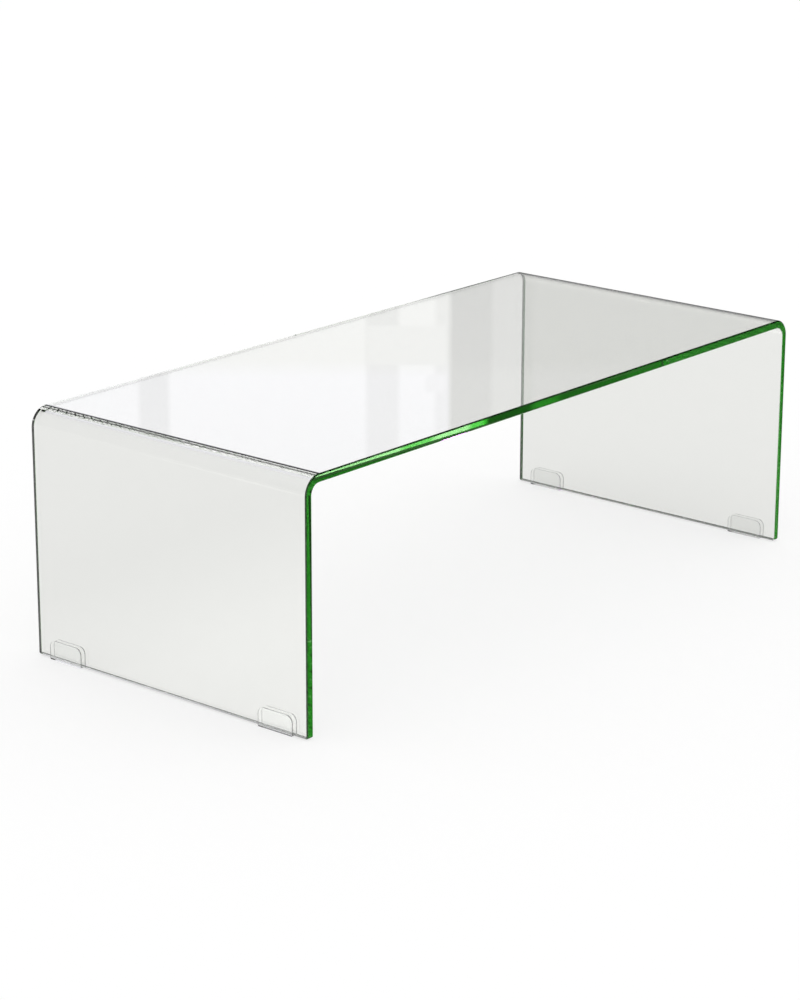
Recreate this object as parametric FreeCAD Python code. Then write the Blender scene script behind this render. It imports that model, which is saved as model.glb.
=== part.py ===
import FreeCAD, Part
import os

# Waterfall coffee table: one sheet of clear glass, bent down at both ends to make its own
# legs, standing on four clear pads that clip over the bottom edges of the legs.
# Millimetres, +Z up.  X runs along the table and Y across it, with the front at -Y.
# The origin is on the floor, under the middle of the table.

# Glass sheet
table_length = 1100.0        # over the outer faces of the two legs
table_depth = 500.0          # from the front polished edge to the back one
glass_height = 354.0         # from the bottom edge of a leg to the top surface
glass_thickness = 12.0       # the same on the flats and through the bends
bend_inner_radius = 15.0     # under side of both bends
corner_radius = 3.0          # lower corners of the legs, looked at along X
edge_arris = 1.0             # 45 degree bevel ground along every edge of the sheet

# Foot pads
pad_length = 60.0            # along the bottom edge of the leg
pad_setback = 25.0           # from the front or back edge of the sheet to the pad
pad_lip_height = 26.5        # how far the two lips reach up the glass
pad_lip_thickness = 1.5
pad_sole_thickness = 1.5     # under the glass, which it lifts off the floor
pad_corner_radius = 10.0     # upper corners of the lips
pad_toe_radius = 1.5         # lower corners of the lips
pad_edge_bevel = 0.5         # all round the outer face of each lip
pad_mouth_bevel = 0.4        # lead-in at the open top of the channel
pad_grip_clearance = 0.1     # between a lip and the face of the glass

# Worked out from them
bend_outer_radius = bend_inner_radius + glass_thickness
glass_bottom = pad_sole_thickness
glass_top = glass_bottom + glass_height
pad_channel_width = glass_thickness + 2 * pad_grip_clearance
pad_width = pad_channel_width + 2 * pad_lip_thickness
pad_height = pad_sole_thickness + pad_lip_height
leg_centre_x = (table_length - glass_thickness) / 2
pad_centre_y = table_depth / 2 - pad_setback - pad_length / 2

touch = 0.001                # two places closer than this are the same place


def vec(x, y, z):
    return FreeCAD.Vector(x, y, z)


def arc_edge(centre, start, end):
    """The shorter arc about centre from start to end."""
    middle = (start + end) * 0.5 - centre
    middle.normalize()
    middle = centre + middle * (start - centre).Length
    return Part.Arc(start, middle, end).toShape()


def bent_line(depth):
    """The section line that runs this deep below the outer face: up one leg, over both
    bends and down the other leg."""
    side = table_length / 2 - depth
    top = glass_top - depth
    bend_x = table_length / 2 - bend_outer_radius
    bend_z = glass_top - bend_outer_radius
    left_foot = vec(-side, 0, glass_bottom)
    left_low = vec(-side, 0, bend_z)
    left_high = vec(-bend_x, 0, top)
    right_high = vec(bend_x, 0, top)
    right_low = vec(side, 0, bend_z)
    right_foot = vec(side, 0, glass_bottom)
    return [
        Part.LineSegment(left_foot, left_low).toShape(),
        arc_edge(vec(-bend_x, 0, bend_z), left_low, left_high),
        Part.LineSegment(left_high, right_high).toShape(),
        arc_edge(vec(bend_x, 0, bend_z), right_high, right_low),
        Part.LineSegment(right_low, right_foot).toShape(),
    ]


def foot_line(side):
    """The bottom end of one leg's section."""
    outer = vec(side * table_length / 2, 0, glass_bottom)
    inner = vec(side * (table_length / 2 - glass_thickness), 0, glass_bottom)
    return Part.LineSegment(outer, inner).toShape()


def crosses_thickness(edge):
    """True for the short straight edges that run through the glass at the legs' feet."""
    box = edge.BoundBox
    at_foot = box.ZMax < glass_bottom + corner_radius + touch
    return at_foot and box.XLength > glass_thickness - touch


def on_rim(edge):
    """True for an edge of the sheet that lies on its front, back or bottom rim."""
    box = edge.BoundBox
    at_front = box.YMax < -table_depth / 2 + corner_radius + touch
    at_back = box.YMin > table_depth / 2 - corner_radius - touch
    at_foot = box.ZMax < glass_bottom + corner_radius + touch
    return at_front or at_back or at_foot


def bent_glass_sheet():
    """The section of the bent sheet drawn out across the table, with its lower corners
    rounded and one bevel that follows the whole rim, round the bends and the corners."""
    outline = bent_line(0) + bent_line(glass_thickness) + [foot_line(-1), foot_line(1)]
    section = Part.Face(Part.Wire(Part.sortEdges(outline)[0]))
    section.translate(vec(0, -table_depth / 2, 0))
    sheet = section.extrude(vec(0, table_depth, 0))
    corners = []
    for edge in sheet.Edges:
        if crosses_thickness(edge):
            corners.append(edge)
    sheet = sheet.makeFillet(corner_radius, corners)
    rim = []
    for edge in sheet.Edges:
        if on_rim(edge) and not crosses_thickness(edge):
            rim.append(edge)
    return sheet.makeChamfer(edge_arris, rim)


def edges_along_x(shape, z):
    """The straight edges of a block that run along X at this height."""
    found = []
    for edge in shape.Edges:
        box = edge.BoundBox
        if box.YLength < touch and box.ZLength < touch and abs(box.ZMin - z) < touch:
            found.append(edge)
    return found


def foot_pad():
    """A pad at the middle of the floor: a block with rounded corners and the glass's
    channel cut through it, which leaves a sole and two springy lips."""
    block = Part.makeBox(pad_width, pad_length, pad_height,
                         vec(-pad_width / 2, -pad_length / 2, 0))
    block = block.makeFillet(pad_corner_radius, edges_along_x(block, pad_height))
    block = block.makeFillet(pad_toe_radius, edges_along_x(block, 0))
    outer_edges = []
    for edge in block.Edges:
        if edge.BoundBox.XLength < touch:
            outer_edges.append(edge)
    block = block.makeChamfer(pad_edge_bevel, outer_edges)
    channel = Part.makeBox(pad_channel_width, 2 * pad_length, pad_height,
                           vec(-pad_channel_width / 2, -pad_length, pad_sole_thickness))
    pad = block.cut(channel)
    mouth = []
    for edge in pad.Edges:
        box = edge.BoundBox
        in_wall = box.XLength < touch and abs(abs(box.XMin) - pad_channel_width / 2) < touch
        if in_wall and box.ZMin > pad_height - pad_corner_radius - touch:
            mouth.append(edge)
    return pad.makeChamfer(pad_mouth_bevel, mouth)


def save(shape, name):
    solid = shape.Solids[0]
    assert solid.isValid(), name
    solid.exportStep("parts/" + name + ".step")
    print(name, "volume", round(solid.Volume), "mm3")


os.makedirs("parts", exist_ok=True)
save(bent_glass_sheet(), "bent_glass_sheet")
for leg, x_side in (("left", -1), ("right", 1)):
    for end, y_side in (("front", -1), ("back", 1)):
        clip = foot_pad()
        clip.translate(vec(x_side * leg_centre_x, y_side * pad_centre_y, 0))
        save(clip, "foot_pad_" + leg + "_" + end)
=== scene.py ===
import math

import bmesh
import bpy
from mathutils import Matrix, Vector


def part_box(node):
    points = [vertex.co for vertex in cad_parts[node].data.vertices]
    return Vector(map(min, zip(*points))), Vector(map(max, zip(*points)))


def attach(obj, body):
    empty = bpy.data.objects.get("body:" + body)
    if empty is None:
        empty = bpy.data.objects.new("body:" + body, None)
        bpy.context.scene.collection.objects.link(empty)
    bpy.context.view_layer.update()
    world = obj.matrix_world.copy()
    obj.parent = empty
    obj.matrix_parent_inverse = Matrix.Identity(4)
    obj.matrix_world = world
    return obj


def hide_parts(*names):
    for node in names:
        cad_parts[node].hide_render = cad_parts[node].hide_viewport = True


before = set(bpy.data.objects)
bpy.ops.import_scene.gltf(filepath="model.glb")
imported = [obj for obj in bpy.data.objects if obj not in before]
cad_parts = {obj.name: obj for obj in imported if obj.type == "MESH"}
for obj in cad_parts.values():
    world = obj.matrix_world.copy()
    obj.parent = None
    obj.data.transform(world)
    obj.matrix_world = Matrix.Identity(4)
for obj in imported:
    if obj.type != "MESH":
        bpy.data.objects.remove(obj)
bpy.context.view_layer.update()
print("frame loaded:", ", ".join(sorted(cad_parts)))

samePlace = 1e-5                   # two places nearer than this are one
straightOn = 0.999                 # a direction this close to an axis lies along it
sharpFrom = math.radians(60)       # edges that turn more than this get their bevel
anyBounce = 0.5                    # a ray's depth is over this once it has bounced
white = (1, 1, 1, 1)


def near(a, b, gap=samePlace):
    return abs(a - b) < gap


def nothingSelected():
    bpy.ops.object.select_all(action="DESELECT")


def makeActive(piece):
    nothingSelected()
    piece.select_set(True)
    bpy.context.view_layer.objects.active = piece


def pick(piece, kind, test):
    # in edit mode: leaves only the verts, edges or faces that pass the test selected
    bpy.ops.mesh.select_mode(type=kind)
    bpy.ops.mesh.select_all(action="DESELECT")
    net = bmesh.from_edit_mesh(piece.data)
    parts = {"VERT": net.verts, "EDGE": net.edges, "FACE": net.faces}[kind]
    for part in parts:
        if test(part):
            part.select_set(True)
    net.select_flush_mode()
    bmesh.update_edit_mesh(piece.data)


def middle(edge):
    return (edge.verts[0].co + edge.verts[1].co) / 2


def along(edge, axis):
    way = (edge.verts[1].co - edge.verts[0].co).normalized()
    return abs(way[axis]) > straightOn


def applyModifier(piece, kind, **settings):
    modifier = piece.modifiers.new(kind.lower(), kind)
    for name, value in settings.items():
        setattr(modifier, name, value)
    makeActive(piece)
    bpy.ops.object.modifier_apply(modifier=modifier.name)


def smoothRounds(piece, degrees):
    # rounds shade as rounds, flats stay dead flat up to their seams
    makeActive(piece)
    bpy.ops.object.shade_smooth_by_angle(angle=math.radians(degrees))
    applyModifier(piece, "WEIGHTED_NORMAL", mode="FACE_AREA", weight=100, keep_sharp=True)


def newMaterial(name):
    material = bpy.data.materials.new(name)
    material.use_nodes = True
    material.node_tree.nodes.clear()
    return material, material.node_tree.nodes, material.node_tree.links


def plug(links, value, socket):
    # a plain value is set on the socket, a node's output is linked to it
    if isinstance(value, (int, float, tuple)):
        socket.default_value = value
    else:
        links.new(value, socket)


def mathNode(nodes, links, operation, first, second=0.0):
    node = nodes.new("ShaderNodeMath")
    node.operation = operation
    plug(links, first, node.inputs[0])
    plug(links, second, node.inputs[1])
    return node.outputs[0]


def rangeNode(nodes, links, value, start, stop, toStart=0.0, toStop=1.0):
    node = nodes.new("ShaderNodeMapRange")
    plug(links, value, node.inputs["Value"])
    limits = (("From Min", start), ("From Max", stop), ("To Min", toStart), ("To Max", toStop))
    for name, number in limits:
        node.inputs[name].default_value = number
    return node.outputs[0]


def numberBlend(nodes, links, factor, first, second):
    # a mix node keeps its two plain numbers in sockets 2 and 3
    node = nodes.new("ShaderNodeMix")
    plug(links, factor, node.inputs[0])
    plug(links, first, node.inputs[2])
    plug(links, second, node.inputs[3])
    return node.outputs[0]


def colourBlend(nodes, links, factor, first, second):
    # and its two colours in sockets 6 and 7
    node = nodes.new("ShaderNodeMix")
    node.data_type = "RGBA"
    plug(links, factor, node.inputs[0])
    plug(links, first, node.inputs[6])
    plug(links, second, node.inputs[7])
    return node.outputs[2]


def curveNode(nodes, links, value, points, top):
    # a light level, at most top, that follows the listed points
    low, high = points[0][0], points[-1][0]
    place = rangeNode(nodes, links, value, low, high)
    node = nodes.new("ShaderNodeFloatCurve")
    curve = node.mapping.curves[0]
    while len(curve.points) < len(points):
        curve.points.new(0.5, 0.5)
    for point, (where, level) in zip(curve.points, points):
        point.location = ((where - low) / (high - low), level / top)
        point.handle_type = "VECTOR"
    node.mapping.update()
    links.new(place, node.inputs["Value"])
    return mathNode(nodes, links, "MULTIPLY", node.outputs["Value"], top)


sheet = {
    "thickness": 0.012,
    "innerRadius": 0.015,      # under side of the bends
    "bendSteps": 64,
    "cornerRadius": 0.003,     # lower corners of the legs
    "cornerSteps": 6,
    "outerArris": 0.0014,      # ground bevel round the whole rim, on the outer skin
    "innerArris": 0.001,       # and on the inner one
    "smoothUpTo": 30,          # degrees
    "skinGap": 0.0001,         # nearer than this to a skin is on it
    # the first line of painted shade along a bend starts on a strip of the flat top this wide
    "bendLead": 0.002,         # the first dark line starts this far before a bend
    # painted shade: darker lines along the bends, in place of the dark lines that the bends'
    # refraction makes; from and to in degrees, how dark
    "bendLines": [(0.0, 7.5, 1.0), (11.0, 18.5, 0.92)],
}
sheetLow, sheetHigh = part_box("bent_glass_sheet")
outerRadius = sheet["innerRadius"] + sheet["thickness"]
bendX = sheetHigh.x - outerRadius      # the axes of the bends run through here, left and right
bendZ = sheetHigh.z - outerRadius


def drawSheet():
    # the outer skin: the flat top, both bends and both legs
    flatX = bendX - sheet["bendLead"]
    nothingSelected()
    bpy.ops.mesh.primitive_plane_add(size=1, location=(0, 0, 0))
    piece = bpy.context.object
    piece.name = "bentGlass"
    bpy.ops.object.mode_set(mode="EDIT")
    bpy.ops.transform.resize(value=(2 * flatX, sheetHigh.y - sheetLow.y, 1))
    bpy.ops.transform.translate(value=(0, 0, sheetHigh.z))
    for side in (1, -1):
        pick(piece, "EDGE", lambda edge: near(middle(edge).x, side * flatX) and along(edge, 1))
        # a narrow strip before each bend, which carries painted shade
        bpy.ops.mesh.extrude_region_move(
            TRANSFORM_OT_translate={"value": (side * sheet["bendLead"], 0, 0)})
        bpy.ops.mesh.spin(steps=sheet["bendSteps"], angle=-side * math.pi / 2,
                          center=(side * bendX, 0, bendZ), axis=(0, 1, 0))
        pick(piece, "EDGE", lambda edge: near(middle(edge).x, side * sheetHigh.x)
             and near(middle(edge).z, bendZ) and along(edge, 1))
        bpy.ops.mesh.extrude_region_move(
            TRANSFORM_OT_translate={"value": (0, 0, sheetLow.z - bendZ)})
    bpy.ops.mesh.select_all(action="SELECT")
    bpy.ops.mesh.remove_doubles(threshold=1e-6)
    bpy.ops.mesh.normals_make_consistent(inside=False)
    pick(piece, "VERT", lambda vert: near(vert.co.z, sheetLow.z))
    bpy.ops.mesh.bevel(offset=sheet["cornerRadius"], segments=sheet["cornerSteps"],
                       affect="VERTICES")
    bpy.ops.object.mode_set(mode="OBJECT")
    return piece


def placeInSheet(place):
    # depth below the outer skin, and degrees round the nearer bend from the flat top
    beyond = abs(place.x) - bendX
    above = place.z - bendZ
    if beyond > 0 and above > 0:
        return outerRadius - math.hypot(beyond, above), math.degrees(math.atan2(beyond, above))
    return min(sheetHigh.z - place.z, sheetHigh.x - abs(place.x)), 0.0


def bevelRim(piece, depth, width):
    makeActive(piece)
    bpy.ops.object.mode_set(mode="EDIT")
    pick(piece, "EDGE", lambda edge: edge.calc_face_angle(0) > sharpFrom
         and near(placeInSheet(middle(edge))[0], depth, sheet["skinGap"]))
    bpy.ops.mesh.bevel(offset=width, offset_type="OFFSET", segments=1)
    bpy.ops.object.mode_set(mode="OBJECT")


def markRim(piece):
    # rimKind is 0 on the faces of the sheet, 1 on its polished edge, 2 on the ground bevel
    # beside the outer skin and 3 under the legs; 2 and 3 are painted dark, as painted shade
    depths = piece.data.attributes.new("skinDepth", "FLOAT", "POINT")
    for vert, depth in zip(piece.data.vertices, depths.data):
        depth.value = placeInSheet(vert.co)[0]
    level, tilted, down = 0.01, 0.05, -0.5       # limits for one part of a normal
    kinds = piece.data.attributes.new("rimKind", "FLOAT", "FACE")
    for face, kind in zip(piece.data.polygons, kinds.data):
        toEnd = abs(face.normal.y)
        footHeight = face.center.z - sheetLow.z
        onCorner = abs(face.normal.x) < level and footHeight < sheet["cornerRadius"]
        kind.value = 0.0
        if footHeight < sheet["outerArris"] and face.normal.z < down:
            kind.value = 3.0
        elif toEnd > straightOn or onCorner:
            kind.value = 1.0
        elif toEnd > tilted and placeInSheet(face.center)[0] < sheet["thickness"] / 2:
            kind.value = 2.0


def paintBendShade(piece):
    # how dark each face of the outer skin is painted along the bends, from 0 to 1, as painted
    # shade
    firstPaintedShade = sheet["bendLines"][0][2]
    lines = piece.data.attributes.new("bendLine", "FLOAT", "FACE")
    for face, line in zip(piece.data.polygons, lines.data):
        depth, turned = placeInSheet(face.center)
        line.value = 0.0
        if depth > sheet["skinGap"]:
            continue
        if 0 < bendX - abs(face.center.x) < sheet["bendLead"]:
            line.value = firstPaintedShade
        for start, stop, dark in sheet["bendLines"]:
            if start < turned < stop:
                line.value = dark


def buildSheet():
    piece = drawSheet()
    applyModifier(piece, "SOLIDIFY", thickness=sheet["thickness"], offset=-1,
                  use_even_offset=True)
    bevelRim(piece, 0.0, sheet["outerArris"])
    bevelRim(piece, sheet["thickness"], sheet["innerArris"])
    smoothRounds(piece, sheet["smoothUpTo"])
    markRim(piece)
    paintBendShade(piece)
    return piece


bentGlass = buildSheet()
print("bent sheet:", len(bentGlass.data.polygons), "faces")

pad = {
    "lip": 0.0015,             # wall of the two lips
    "sole": 0.0015,
    "cornerRadius": 0.010,     # upper corners, looked at from the side
    "cornerSteps": 12,
    "toeRadius": 0.0015,       # lower corners
    "toeSteps": 4,
    "edgeRound": 0.00045,
    "edgeSteps": 3,
    "smoothUpTo": 40,          # degrees
    "seatGap": 0.0001,         # under the glass, so that no two faces share a place
}
padNodes = [node for node in sorted(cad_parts) if node.startswith("foot_pad")]


def buildPad(size):
    # one pad at the middle of the floor, open at the top for the glass
    nothingSelected()
    bpy.ops.mesh.primitive_cube_add(size=1, location=(0, 0, 0))
    piece = bpy.context.object
    bpy.ops.object.mode_set(mode="EDIT")
    bpy.ops.transform.resize(value=size)
    bpy.ops.transform.translate(value=(0, 0, size.z / 2))
    pick(piece, "EDGE", lambda edge: along(edge, 0) and near(middle(edge).z, size.z))
    bpy.ops.mesh.bevel(offset=pad["cornerRadius"], segments=pad["cornerSteps"])
    pick(piece, "EDGE", lambda edge: along(edge, 0) and near(middle(edge).z, 0))
    bpy.ops.mesh.bevel(offset=pad["toeRadius"], segments=pad["toeSteps"])
    bpy.ops.object.mode_set(mode="OBJECT")
    nothingSelected()
    bpy.ops.mesh.primitive_cube_add(size=1, location=(0, 0, 0))
    channel = bpy.context.object
    channelFloor = pad["sole"] - pad["seatGap"]
    channel.scale = (size.x - 2 * pad["lip"], 2 * size.y, size.z)
    channel.location = (0, 0, channelFloor + size.z / 2)
    applyModifier(piece, "BOOLEAN", object=channel, operation="DIFFERENCE", solver="EXACT")
    bpy.data.objects.remove(channel)
    applyModifier(piece, "BEVEL", width=pad["edgeRound"], segments=pad["edgeSteps"],
                  limit_method="ANGLE", angle_limit=sharpFrom)
    smoothRounds(piece, pad["smoothUpTo"])
    return piece


def placePads():
    low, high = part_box(padNodes[0])
    shape = buildPad(high - low)
    placed = {}
    for node in padNodes:
        low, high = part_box(node)
        makeActive(shape)
        bpy.ops.object.duplicate()
        piece = bpy.context.object
        piece.name = "clearPad" + node[len("foot_pad"):].title().replace("_", "")
        bpy.ops.transform.translate(value=((low.x + high.x) / 2, (low.y + high.y) / 2, low.z))
        bpy.ops.object.transform_apply(location=True, rotation=False, scale=False)
        placed[node] = piece
    bpy.data.objects.remove(shape)
    return placed


footPads = placePads()
for piece in footPads.values():
    print("pad:", piece.name, len(piece.data.polygons), "faces")

# soft patches in the finishes
patches = {
    "detail": 3.0,
    "range": (0.3, 0.7),       # the part of the noise that is in use
}

# the tints are what is left of light that goes in and out; the bevel, seam, foot and bend tints
# are painted shade
glassLook = {
    "ior": 1.487,
    "roughness": 0.0,
    "faceTint": (0.851, 0.8556, 0.8335, 1),
    "rimTint": (0.0225, 0.255, 0.0155, 1),
    # painted shade: the bevel and the rim beside it are painted near black, in place of the dark
    # line along the edge
    "bevelTint": (0.0006, 0.004, 0.0005, 1),
    "seamStart": 0.0019,       # the edge stays dark from the bevel to this far in
    "seamEnd": 0.0022,
    # painted shade on the faces under the legs
    "footTint": (0.02, 0.022, 0.02, 1),
    # painted shade on the lines along the bends
    "bendTint": (0.0005, 0.0005, 0.0005, 1),
    "faceCloud": 0.004,        # how far the tints stray from place to place
    "rimCloud": 0.10,
    "cloudScale": 45.0,
    "volumeColour": (0.30, 0.65, 0.25, 1),
    "volumeDensity": 0.2,      # per metre
}

padLook = {
    "ior": 1.36,
    "tint": (0.990, 0.993, 0.990, 1),
    "roughness": 0.04,
    "roughCloud": 0.012,
    "cloudScale": 120.0,
    "volumeColour": (0.40, 0.42, 0.40, 1),
    "volumeDensity": 20.0,
}


def cloud(nodes, links, scale):
    # from -1 to 1, fixed to the piece
    where = nodes.new("ShaderNodeTexCoord")
    noise = nodes.new("ShaderNodeTexNoise")
    noise.inputs["Scale"].default_value = scale
    noise.inputs["Detail"].default_value = patches["detail"]
    links.new(where.outputs["Object"], noise.inputs["Vector"])
    return rangeNode(nodes, links, noise.outputs["Fac"], *patches["range"], -1.0, 1.0)


def meshMark(nodes, name):
    node = nodes.new("ShaderNodeAttribute")
    node.attribute_name = name
    return node.outputs["Fac"]


def clearBody(nodes, links, look):
    # a see-through surface and what the material takes from the light on its way
    surface = nodes.new("ShaderNodeBsdfPrincipled")
    surface.inputs["IOR"].default_value = look["ior"]
    surface.inputs["Transmission Weight"].default_value = 1.0
    volume = nodes.new("ShaderNodeVolumeAbsorption")
    volume.inputs["Color"].default_value = look["volumeColour"]
    volume.inputs["Density"].default_value = look["volumeDensity"]
    output = nodes.new("ShaderNodeOutputMaterial")
    links.new(surface.outputs["BSDF"], output.inputs["Surface"])
    links.new(volume.outputs["Volume"], output.inputs["Volume"])
    return surface


def glassMaterial():
    material, nodes, links = newMaterial("clearGlass")
    surface = clearBody(nodes, links, glassLook)
    surface.inputs["Roughness"].default_value = glassLook["roughness"]
    kind = meshMark(nodes, "rimKind")
    onRim = rangeNode(nodes, links, kind, 0.0, 1.0)
    onBevel = rangeNode(nodes, links, kind, 1.0, 2.0)
    onPaintedFoot = rangeNode(nodes, links, kind, 2.0, 3.0)
    # painted shade: the rim is painted dark near the bevel, and the bevel itself
    inPaintedSeam = rangeNode(nodes, links, meshMark(nodes, "skinDepth"), glassLook["seamStart"],
                       glassLook["seamEnd"], 1.0, 0.0)
    rimTintAndSeamShade = colourBlend(nodes, links, inPaintedSeam, glassLook["rimTint"], glassLook["bevelTint"])
    tint = colourBlend(nodes, links, onRim, glassLook["faceTint"], rimTintAndSeamShade)
    tint = colourBlend(nodes, links, onBevel, tint, glassLook["bevelTint"])
    # painted shade under the legs
    tint = colourBlend(nodes, links, onPaintedFoot, tint, glassLook["footTint"])
    # the painted shade along the bends counts only from outside
    fromUnder = nodes.new("ShaderNodeNewGeometry").outputs["Backfacing"]
    outside = mathNode(nodes, links, "SUBTRACT", 1.0, fromUnder)
    onPaintedShade = mathNode(nodes, links, "MULTIPLY", meshMark(nodes, "bendLine"), outside)
    tint = colourBlend(nodes, links, onPaintedShade, tint, glassLook["bendTint"])
    stray = numberBlend(nodes, links, onRim, glassLook["faceCloud"], glassLook["rimCloud"])
    cloudy = mathNode(nodes, links, "MULTIPLY", cloud(nodes, links, glassLook["cloudScale"]),
                      stray)
    clouded = nodes.new("ShaderNodeVectorMath")
    clouded.operation = "SCALE"
    links.new(tint, clouded.inputs[0])
    links.new(mathNode(nodes, links, "ADD", cloudy, 1.0), clouded.inputs["Scale"])
    links.new(clouded.outputs[0], surface.inputs["Base Color"])
    return material


def padMaterial():
    material, nodes, links = newMaterial("clearPlastic")
    surface = clearBody(nodes, links, padLook)
    surface.inputs["Base Color"].default_value = padLook["tint"]
    rough = mathNode(nodes, links, "MULTIPLY", cloud(nodes, links, padLook["cloudScale"]),
                     padLook["roughCloud"])
    links.new(mathNode(nodes, links, "ADD", rough, padLook["roughness"]),
              surface.inputs["Roughness"])
    return material


def putOn(piece, material):
    piece.data.materials.clear()
    piece.data.materials.append(material)


putOn(bentGlass, glassMaterial())
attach(bentGlass, "root")
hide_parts("bent_glass_sheet")
clearPlastic = padMaterial()
for node, piece in footPads.items():
    putOn(piece, clearPlastic)
    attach(piece, "root")
    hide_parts(node)
print("finishes on")

studio = {
    "floorSize": 40.0,
    "floorDrop": 0.0002,       # below the pads
    "floorColour": (0.32, 0.32, 0.32, 1),
    "floorGlow": 0.685,
    "worldLight": 1.0,         # white
}


def mirroredByGlass(nodes, links):
    # 1 for what the glass mirrors, 0 for what is seen directly or straight through it
    path = nodes.new("ShaderNodeLightPath")
    mirrored = mathNode(nodes, links, "MINIMUM", path.outputs["Glossy Depth"], 1.0)
    direct = mathNode(nodes, links, "LESS_THAN", path.outputs["Diffuse Depth"], anyBounce)
    return mathNode(nodes, links, "MULTIPLY", mirrored, direct)


def buildFloor():
    nothingSelected()
    bpy.ops.mesh.primitive_plane_add(size=studio["floorSize"],
                                     location=(0, 0, -studio["floorDrop"]))
    floor = bpy.context.object
    floor.name = "studioFloor"
    material, nodes, links = newMaterial("paleFloor")
    diffuse = nodes.new("ShaderNodeBsdfDiffuse")
    diffuse.inputs["Color"].default_value = studio["floorColour"]
    path = nodes.new("ShaderNodeLightPath")
    seen = mathNode(nodes, links, "MAXIMUM", path.outputs["Is Camera Ray"],
                    path.outputs["Is Glossy Ray"])
    seen = mathNode(nodes, links, "MAXIMUM", seen, path.outputs["Is Transmission Ray"])
    glow = nodes.new("ShaderNodeEmission")
    links.new(mathNode(nodes, links, "MULTIPLY", seen, studio["floorGlow"]),
              glow.inputs["Strength"])
    both = nodes.new("ShaderNodeAddShader")
    links.new(diffuse.outputs[0], both.inputs[0])
    links.new(glow.outputs[0], both.inputs[1])
    # what the glass mirrors is the room, so the floor isn't there for those rays
    clear = nodes.new("ShaderNodeBsdfTransparent")
    mix = nodes.new("ShaderNodeMixShader")
    links.new(mirroredByGlass(nodes, links), mix.inputs[0])
    links.new(both.outputs[0], mix.inputs[1])
    links.new(clear.outputs[0], mix.inputs[2])
    output = nodes.new("ShaderNodeOutputMaterial")
    links.new(mix.outputs[0], output.inputs["Surface"])
    putOn(floor, material)


# The room that the glass mirrors.  Windows fill the wall behind the table, and a light of 1 is
# white.  Places across that wall, heights and drops are tangents of the direction; side is the
# sine of the turn away from the wall, -1 to the left and 1 to the right.  Each pair that is
# called a foot, head, side or edge goes from nothing to full, unless a note says otherwise.
room = {
    "turn": -49.826,           # degrees
    # across the wall from left to right, each light from its place on: panes with two bars
    # between them, a curtain, the plain wall
    "wall": [(-1.0, 1.16), (-0.0855, 0.91), (-0.0753, 1.17), (-0.0083, 0.96), (0.0027, 1.17),
             (0.0150, 1.0), (0.0200, 0.54), (0.0342, 0.69), (0.0480, 0.755)],
    "wallEdge": 0.001,         # half the softness of each change
    "wallSide": (0.6, 0.25),   # where the rest of the room fades into the wall
    "windowTint": (1.0, 0.992, 1.06, 1),
    "paneLight": (0.7, 0.9),   # the tint fades in between these lights
    "windowFoot": (0.14, 0.17),
    "windowHead": (0.31, 0.33),    # the ceiling fades in here
    "sill": (0.2628, 0.2688),  # panes above, panelling below
    "sillShade": 0.91,
    # raised panels under the sill: left, right, foot, head, light
    "panels": [(-0.0084, 0.0190, 0.2503, 0.2650, 0.985),
               (0.0113, 0.0190, 0.2675, 0.2745, 1.07)],
    "panelEdge": 0.001,
    # right round the room, by side
    "around": [(-1.0, 0.50), (-0.5, 0.8), (-0.25, 1.0), (0.25, 1.0), (0.6, 0.3), (0.9, 0.06),
               (1.0, 0.06)],
    "brightest": 2.0,          # upper end of the curves
    "ceiling": 0.06,           # dark, except to the left when seen from inside the glass
    "ceilingSide": (-0.03, -0.08),
    "oneMirror": 1.5,          # mirrored less often than this is mirrored once
    "lowAhead": 0.03,          # what a bend mirrors once, low down behind the table
    "lowHeight": 0.12,
    "lowSide": (0.0175, 0.28),     # from and to
}

# a pale rug far to the left, which the front rims of the legs mirror
rug = {
    "side": -0.985,
    "drop": 0.385,             # down to its edge, straight to the side
    "slant": 0.37,
    "edge": (-0.03, 0.035),
    "light": 3.6,
}

# a low pale wall far to the right, which the back edge of the top mirrors
farWall = {
    "side": (0.9832, 0.9848),
    "foot": 0.2785,            # the drop to its foot
    "head": (0.205, 0.272),    # and to its top, which gets lower to the far right
    "headSide": (0.996, 0.9985),
    "light": 1.25,
}

# The same room at the end of the long way through the depth of the glass, where only what is
# bright still shows, and shows paler.
glare = {
    "wall": [(-1.0, 0.9), (-0.0309, 4.0), (0.0038, 3.3), (0.0144, 4.1), (0.0270, 3.05),
             (0.0325, 0.37), (0.0480, 0.95), (0.0570, 0.48), (0.0800, 0.62), (0.0912, 0.95)],
    "tint": (5.0, 1.0, 6.3, 1),
    "paleLight": (2.8, 4.0),   # the tint fades in between these lights
    "around": [(-1.0, 0.88), (-0.5, 0.85), (-0.25, 0.68), (0.25, 0.68), (0.6, 0.32),
               (1.0, 0.25)],
    "firstMirror": 7.5,        # mirrored more often than this counts as the long way
    "lastMirror": 30.5,        # and more often than this, the light is all mixed
    "mixed": (2.05, 1.77, 2.10, 1),
}


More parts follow.
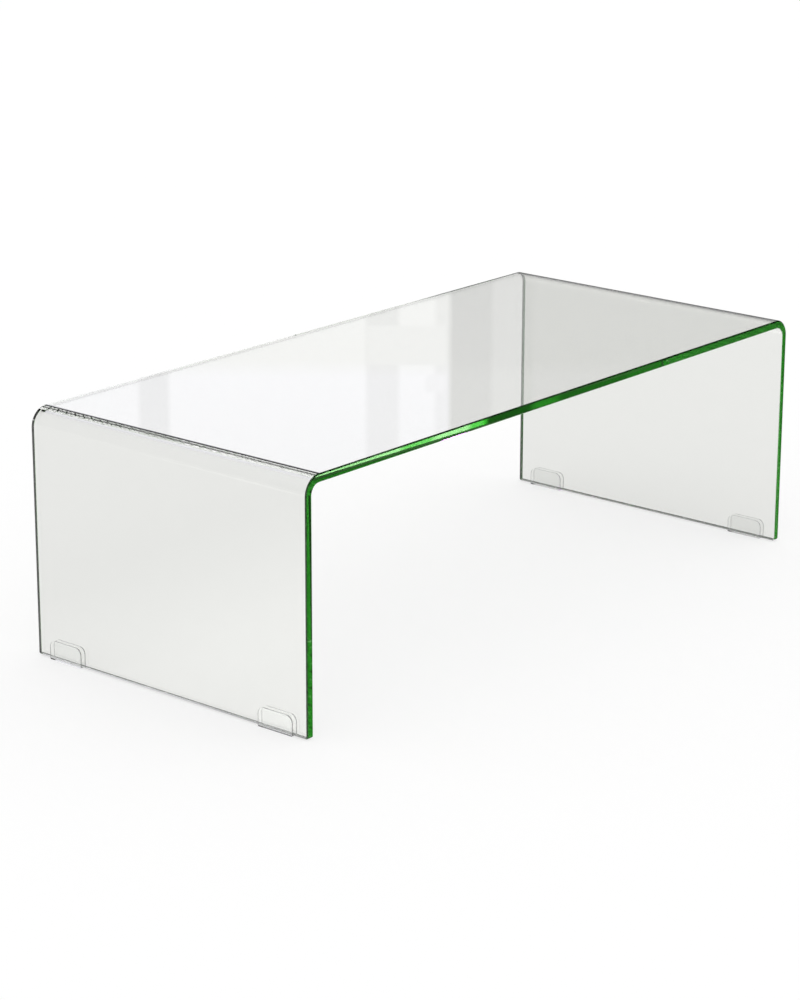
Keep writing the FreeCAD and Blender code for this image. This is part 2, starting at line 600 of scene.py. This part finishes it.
def buildWorld():
    world = bpy.data.worlds.new("studioWorld")
    bpy.context.scene.world = world
    world.use_nodes = True
    nodes, links = world.node_tree.nodes, world.node_tree.links
    nodes.clear()

    def calc(operation, first, second=0.0):
        return mathNode(nodes, links, operation, first, second)

    def product(first, *others):
        for other in others:
            first = calc("MULTIPLY", first, other)
        return first

    def over(value, limit):
        return calc("GREATER_THAN", value, limit)

    def under(value, limit):
        return calc("LESS_THAN", value, limit)

    def ramp(value, start, stop, toStart=0.0, toStop=1.0):
        return rangeNode(nodes, links, value, start, stop, toStart, toStop)

    def blend(factor, first, second):
        return numberBlend(nodes, links, factor, first, second)

    # x runs to the right along the wall, y to the wall and z up
    where = nodes.new("ShaderNodeTexCoord")
    turned = nodes.new("ShaderNodeMapping")
    turned.vector_type = "POINT"
    turned.inputs["Rotation"].default_value = (0, 0, -math.radians(room["turn"]))
    links.new(where.outputs["Generated"], turned.inputs["Vector"])
    split = nodes.new("ShaderNodeSeparateXYZ")
    links.new(turned.outputs["Vector"], split.inputs[0])
    x, y, z = split.outputs
    tiny = 0.001                   # never divided by less
    ahead = calc("MAXIMUM", calc("ABSOLUTE", y), tiny)
    aside = calc("MAXIMUM", calc("ABSOLUTE", x), tiny)
    across = calc("DIVIDE", x, ahead)
    height = calc("DIVIDE", z, ahead)
    drop = calc("DIVIDE", product(z, -1.0), aside)
    level = calc("SQRT", calc("ADD", product(x, x), product(y, y)))
    side = calc("DIVIDE", x, calc("MAXIMUM", level, tiny))
    path = nodes.new("ShaderNodeLightPath")
    mirrors = path.outputs["Glossy Depth"]

    def wallLight(steps):
        light = steps[0][1]
        for start, newLight in steps[1:]:
            onward = ramp(across, start - room["wallEdge"], start + room["wallEdge"])
            light = blend(onward, light, newLight)
        return light

    # the wall with its windows
    atWall = product(ramp(height, *room["windowFoot"]), ramp(side, *room["wallSide"]))
    overSill = ramp(height, *room["sill"])
    overHead = ramp(height, *room["windowHead"])
    panes = wallLight(room["wall"])
    wall = product(panes, blend(overSill, room["sillShade"], 1.0))
    soft = room["panelEdge"]
    for left, right, foot, head, panelLight in room["panels"]:
        within = product(ramp(across, left, left + soft), ramp(across, right, right - soft),
                         ramp(height, foot, foot + soft), ramp(height, head, head - soft))
        wall = blend(within, wall, panelLight)

    # the rest of the room, with the rug, the dark low down and the far wall
    around = curveNode(nodes, links, side, room["around"], room["brightest"])
    slant = product(calc("DIVIDE", y, aside), -rug["slant"])
    past = calc("SUBTRACT", calc("ADD", drop, slant), rug["drop"])
    rugLight = ramp(past, *rug["edge"], 1.0, rug["light"])
    rugLight.node.interpolation_type = "SMOOTHSTEP"
    around = product(around, blend(under(side, rug["side"]), 1.0, rugLight))
    once = product(under(mirrors, room["oneMirror"]), over(y, 0.0))
    leftEnd, rightEnd = room["lowSide"]
    low = product(over(side, leftEnd), under(side, rightEnd), under(height, room["lowHeight"]))
    around = product(around, blend(product(once, low), 1.0, room["lowAhead"]))
    head = ramp(side, *farWall["headSide"], *farWall["head"])
    atFarWall = product(under(drop, farWall["foot"]), over(drop, head),
                        ramp(side, *farWall["side"]))
    around = blend(atFarWall, around, farWall["light"])

    # all that the glass mirrors the short way
    fromInside = over(path.outputs["Transmission Depth"], anyBounce)
    ceiling = blend(product(fromInside, ramp(side, *room["ceilingSide"])), room["ceiling"], 1.0)
    short = blend(atWall, around, wall)
    short = blend(overHead, short, product(around, ceiling))
    glass = product(overSill, ramp(panes, *room["paneLight"]), atWall)
    shortColour = colourBlend(nodes, links, glass, white, room["windowTint"])

    # and the long way
    longAround = curveNode(nodes, links, side, glare["around"], room["brightest"])
    underHead = ramp(overHead, 1.0, 0.0)
    long = blend(product(atWall, underHead), longAround, wallLight(glare["wall"]))
    longColour = colourBlend(nodes, links, ramp(long, *glare["paleLight"]), white, glare["tint"])

    isLong = over(mirrors, glare["firstMirror"])
    isMixed = over(mirrors, glare["lastMirror"])
    light = blend(isMixed, blend(isLong, short, long), 1.0)
    colour = colourBlend(nodes, links, isLong, shortColour, longColour)
    colour = colourBlend(nodes, links, isMixed, colour, glare["mixed"])
    mirrored = mirroredByGlass(nodes, links)
    background = nodes.new("ShaderNodeBackground")
    links.new(colourBlend(nodes, links, mirrored, white, colour), background.inputs["Color"])
    links.new(blend(mirrored, studio["worldLight"], light), background.inputs["Strength"])
    output = nodes.new("ShaderNodeOutputWorld")
    links.new(background.outputs[0], output.inputs["Surface"])


buildFloor()
buildWorld()
print("studio ready")

camera = {
    "aim": (-0.10887, -0.03543, 0.17826),
    "azimuth": -50.011,        # degrees
    "elevation": 17.347,
    "roll": 0.133,
    "distance": 4.345,
    "lens": 109.92,            # millimetres
    "sensor": 36.0,
}


def buildCamera():
    turn = math.radians(camera["azimuth"])
    tilt = math.radians(camera["elevation"])
    back = Vector((math.sin(turn) * math.cos(tilt), -math.cos(turn) * math.cos(tilt),
                   math.sin(tilt)))
    facing = Matrix.Rotation(turn, 3, "Z") @ Matrix.Rotation(math.pi / 2 - tilt, 3, "X")
    facing = facing @ Matrix.Rotation(math.radians(camera["roll"]), 3, "Z")
    nothingSelected()
    bpy.ops.object.camera_add(location=Vector(camera["aim"]) + back * camera["distance"],
                              rotation=facing.to_euler())
    eye = bpy.context.object
    eye.data.lens = camera["lens"]
    eye.data.sensor_width = camera["sensor"]
    bpy.context.scene.camera = eye


buildCamera()
scene = bpy.context.scene
scene.view_settings.view_transform = "Standard"
mirrorLimit = 400                # light goes to and fro many times inside the sheet
scene.cycles.max_bounces = mirrorLimit
scene.cycles.glossy_bounces = mirrorLimit
scene.cycles.transmission_bounces = mirrorLimit
